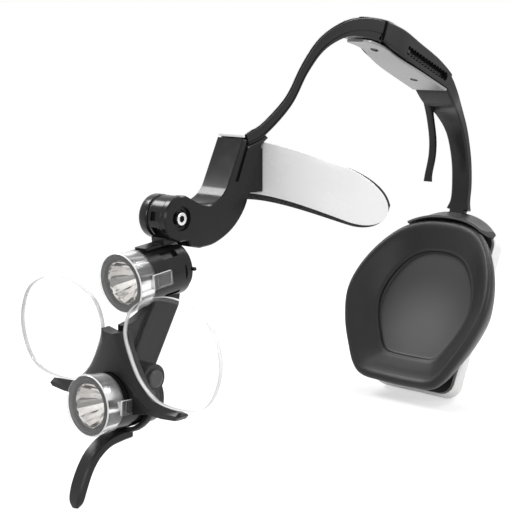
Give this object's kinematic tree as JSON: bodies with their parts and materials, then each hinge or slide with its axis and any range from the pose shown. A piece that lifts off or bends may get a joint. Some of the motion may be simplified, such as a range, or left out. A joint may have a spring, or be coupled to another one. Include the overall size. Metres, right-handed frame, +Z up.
{
  "type": "headband dental loupes",
  "caption": "Headband magnifying loupes with clear lenses, lamps above and below the bridge, a curved lever, a crown slide and a rear cup with a battery case",
  "frame": {"origin": "middle of the forehead pad's face, where it rests on the brow", "axes": "-Y is where the wearer looks, +Z is up, +X is the wearer's left"},
  "size_m": [0.1134, 0.271, 0.1897],
  "materials": {
    "gloss_black": "smooth moulded black plastic",
    "satin_black": "satin black plastic",
    "soft_black": "soft closed-cell foam",
    "shell_grey": "dark grey satin plastic",
    "case_white": "white moulded plastic",
    "satin_steel": "satin metal sheet",
    "bright_steel": "bright plated metal",
    "clear": "clear polished plastic",
    "emitter": "pale yellow light emitter",
    "board_green": "green circuit board",
    "cell_wrap": "plain wrapped cell"
  },
  "bodies": {
    "headband": {"front_bracket": "gloss_black", "front_band": "gloss_black", "band_trim": "case_white", "crown_box": "gloss_black", "crown_plate": "satin_steel", "crown_screw_front": "satin_black", "crown_screw_rear": "satin_black", "forehead_plate": "satin_steel", "forehead_pad": "soft_black", "forehead_screw_upper": "satin_steel", "forehead_screw_lower": "satin_steel", "hinge_screw": "bright_steel", "hinge_washer": "satin_steel"},
    "thumb_wheel": {"thumb_wheel": "gloss_black"},
    "lamp_arm": {"hinge_stem": "gloss_black", "upper_lamp_body": "gloss_black", "upper_lamp_cap": "gloss_black", "upper_lamp_cover": "clear", "upper_reflector": "bright_steel", "upper_led_board": "satin_steel", "upper_led": "emitter", "arm_bar": "gloss_black"},
    "loupe_head": {"lens_holder": "gloss_black", "lens_left": "clear", "lens_right": "clear", "lower_lamp_body": "gloss_black", "lower_lamp_cover": "clear", "lower_reflector": "bright_steel", "lower_led_board": "satin_steel", "lower_led": "emitter", "handle": "gloss_black", "pivot_screw": "satin_steel", "pivot_nut": "satin_steel"},
    "rear_band": {"rear_band": "gloss_black", "slide_catch": "satin_steel", "rear_shell": "shell_grey", "rear_pad": "soft_black", "rear_housing": "case_white", "battery_left": "cell_wrap", "battery_right": "cell_wrap", "contact_lower": "satin_steel", "contact_left": "satin_steel", "contact_right": "satin_steel", "circuit_board": "board_green"},
    "battery_door": {"battery_door": "case_white"},
    "power_switch": {"power_switch": "satin_black"}
  },
  "joints": [
    {"name": "flip_hinge", "type": "hinge", "parent": "headband", "child": "lamp_arm", "pos_m": [0, -0.0567, -0.0158], "axis": [-1, 0, 0], "range_deg": [0, 95]},
    {"name": "loupe_tilt", "type": "hinge", "parent": "lamp_arm", "child": "loupe_head", "pos_m": [0, -0.076, -0.0758], "axis": [1, 0, 0], "range_deg": [0, 25]},
    {"name": "thumb_wheel_turn", "type": "hinge", "parent": "headband", "child": "thumb_wheel", "pos_m": [0, -0.0567, -0.0158], "axis": [-1, 0, 0], "range_deg": [0, 270]},
    {"name": "headband_slide", "type": "slide", "parent": "headband", "child": "rear_band", "axis": [0, 0.9272, -0.3746], "range_m": [0, 0.03]},
    {"name": "battery_door_slide", "type": "slide", "parent": "rear_band", "child": "battery_door", "axis": [0, -0.4472, -0.8944], "range_m": [0, 0.03]},
    {"name": "power_switch_slide", "type": "slide", "parent": "rear_band", "child": "power_switch", "axis": [1, 0, 0], "range_m": [0, 0.004]}
  ]
}
